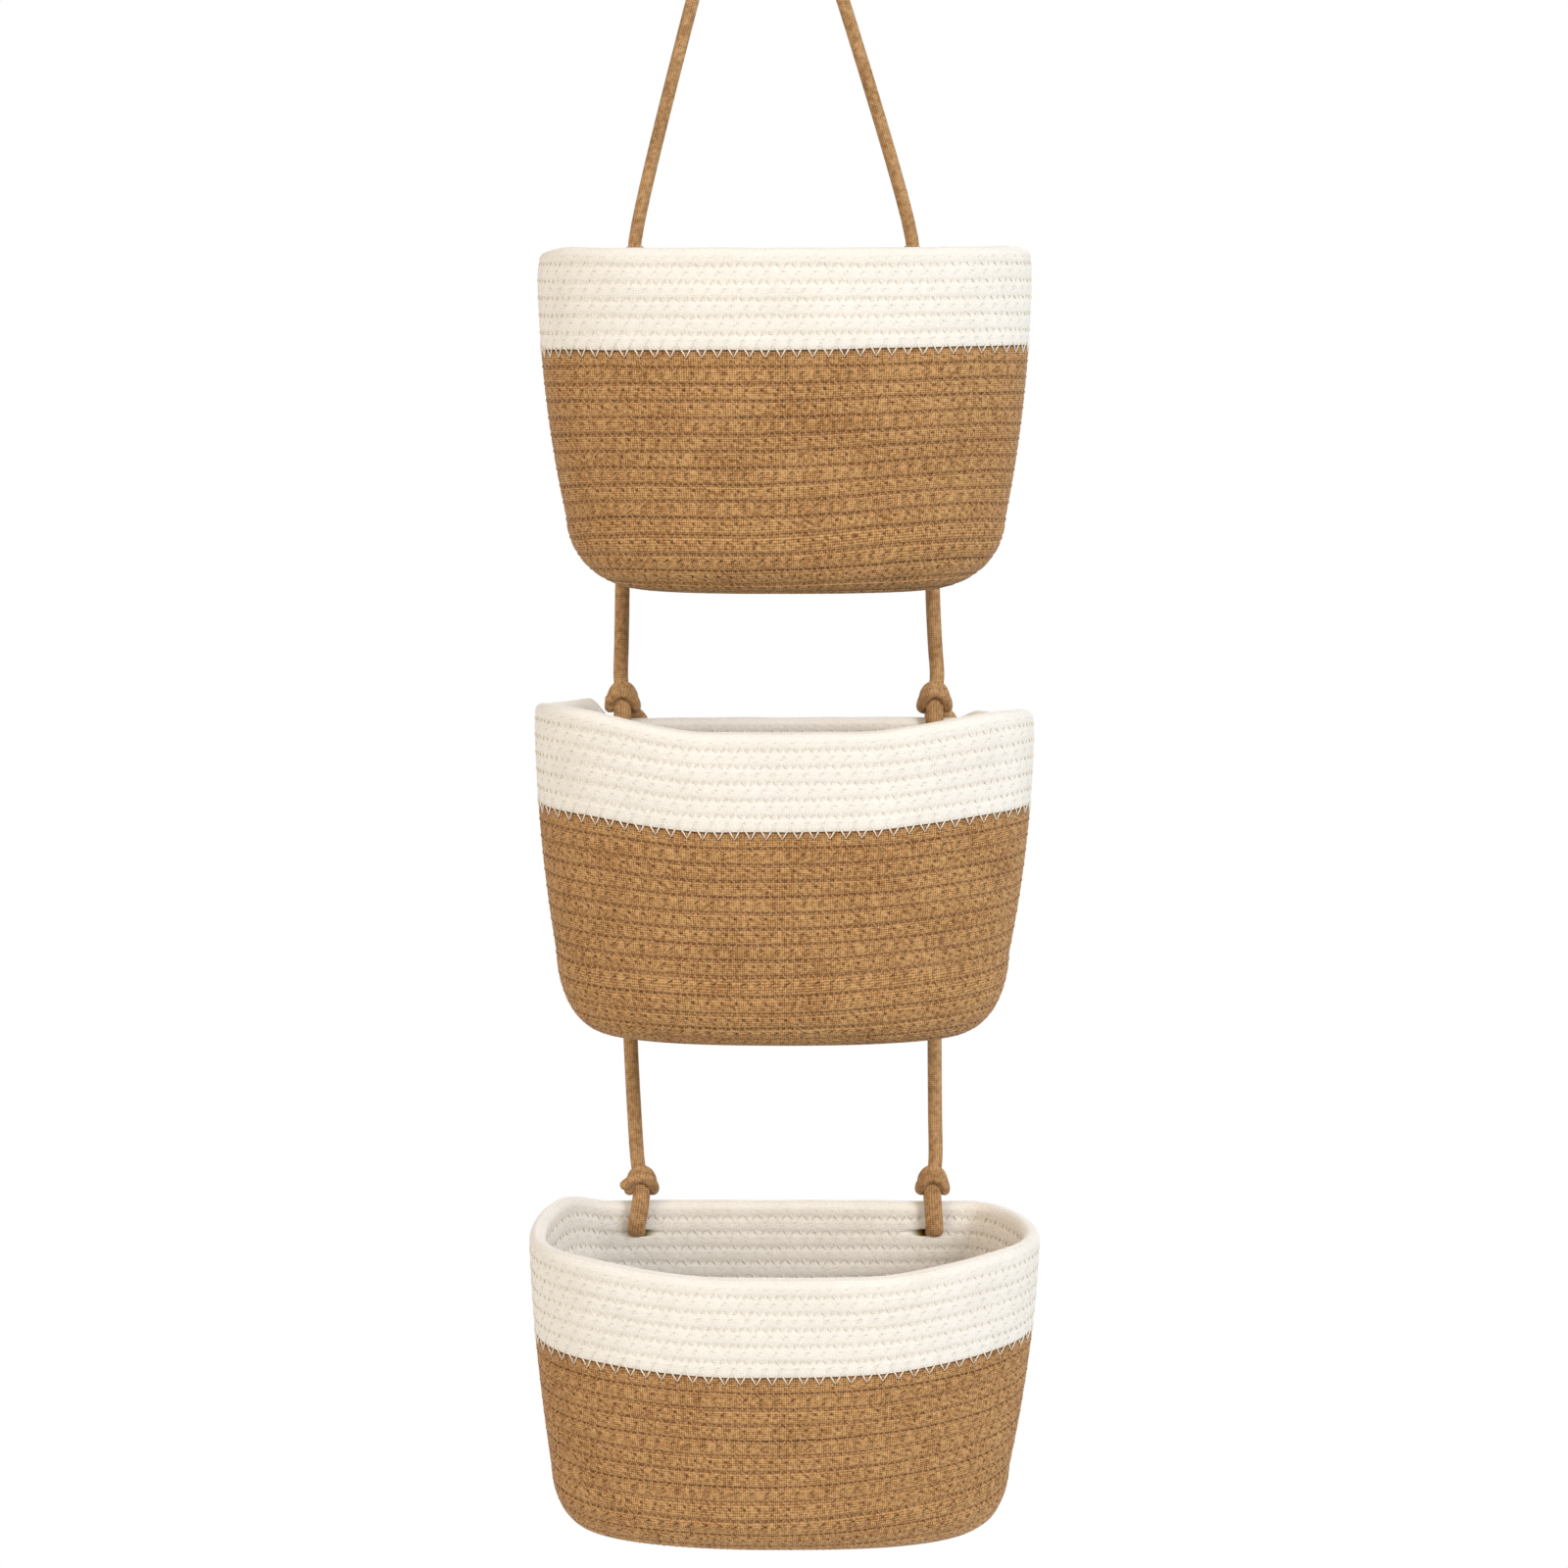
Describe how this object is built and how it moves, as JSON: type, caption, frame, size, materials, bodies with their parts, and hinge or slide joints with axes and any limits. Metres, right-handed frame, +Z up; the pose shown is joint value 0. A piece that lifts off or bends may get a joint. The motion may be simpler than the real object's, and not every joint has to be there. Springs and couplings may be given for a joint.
{
  "type": "wall basket",
  "caption": "Tiered wall basket of stitched rope coils: deep half-oval baskets with a light rim band and tan walls hang one below the other on ropes tied to their back rims.",
  "frame": {"origin": "where the hanger rope bears on its hook, on the underside of the rope's bend", "axes": "+Z up, the front of the baskets towards -Y and the wall behind them towards +Y, +X to the right seen from the front"},
  "size_m": [0.2759, 0.1438, 0.9161],
  "materials": {
    "cream_rope": "undyed cotton rope, flattened and sewn in courses",
    "tan_rope": "tan cotton rope, flattened and sewn in courses",
    "hanging_cord": "tan twisted cotton rope"
  },
  "bodies": {
    "hanger_rope": {"hanger": "hanging_cord"},
    "upper_basket": {"upper_cream_band": "cream_rope", "upper_tan_wall": "tan_rope", "upper_base": "tan_rope", "upper_left_rim_loop": "hanging_cord", "upper_right_rim_loop": "hanging_cord", "upper_left_back_run": "hanging_cord", "upper_right_back_run": "hanging_cord"},
    "middle_droppers": {"middle_left_dropper": "hanging_cord", "middle_right_dropper": "hanging_cord"},
    "middle_basket": {"middle_cream_band": "cream_rope", "middle_tan_wall": "tan_rope", "middle_base": "tan_rope", "middle_left_rim_loop": "hanging_cord", "middle_right_rim_loop": "hanging_cord", "middle_left_back_run": "hanging_cord", "middle_right_back_run": "hanging_cord"},
    "lower_droppers": {"lower_left_dropper": "hanging_cord", "lower_right_dropper": "hanging_cord"},
    "lower_basket": {"lower_cream_band": "cream_rope", "lower_tan_wall": "tan_rope", "lower_base": "tan_rope", "lower_left_rim_loop": "hanging_cord", "lower_right_rim_loop": "hanging_cord"}
  },
  "joints": [
    {"name": "upper_tip", "type": "hinge", "parent": "hanger_rope", "child": "upper_basket", "pos_m": [0.011, 0, -0.2142], "axis": [-1, 0, 0], "range_deg": [0, 30]},
    {"name": "middle_swing", "type": "hinge", "parent": "upper_basket", "child": "middle_droppers", "pos_m": [0.011, 0.0103, -0.3936], "axis": [-1, 0, 0], "range_deg": [0, 10]},
    {"name": "middle_tip", "type": "hinge", "parent": "middle_droppers", "child": "middle_basket", "pos_m": [0.011, 0, -0.4472], "axis": [-1, 0, 0], "range_deg": [0, 15]},
    {"name": "lower_swing", "type": "hinge", "parent": "middle_basket", "child": "lower_droppers", "pos_m": [0.011, 0.0103, -0.6312], "axis": [-1, 0, 0], "range_deg": [0, 15]},
    {"name": "lower_tip", "type": "hinge", "parent": "lower_droppers", "child": "lower_basket", "pos_m": [0.011, 0, -0.7207], "axis": [-1, 0, 0], "range_deg": [0, 35]}
  ]
}
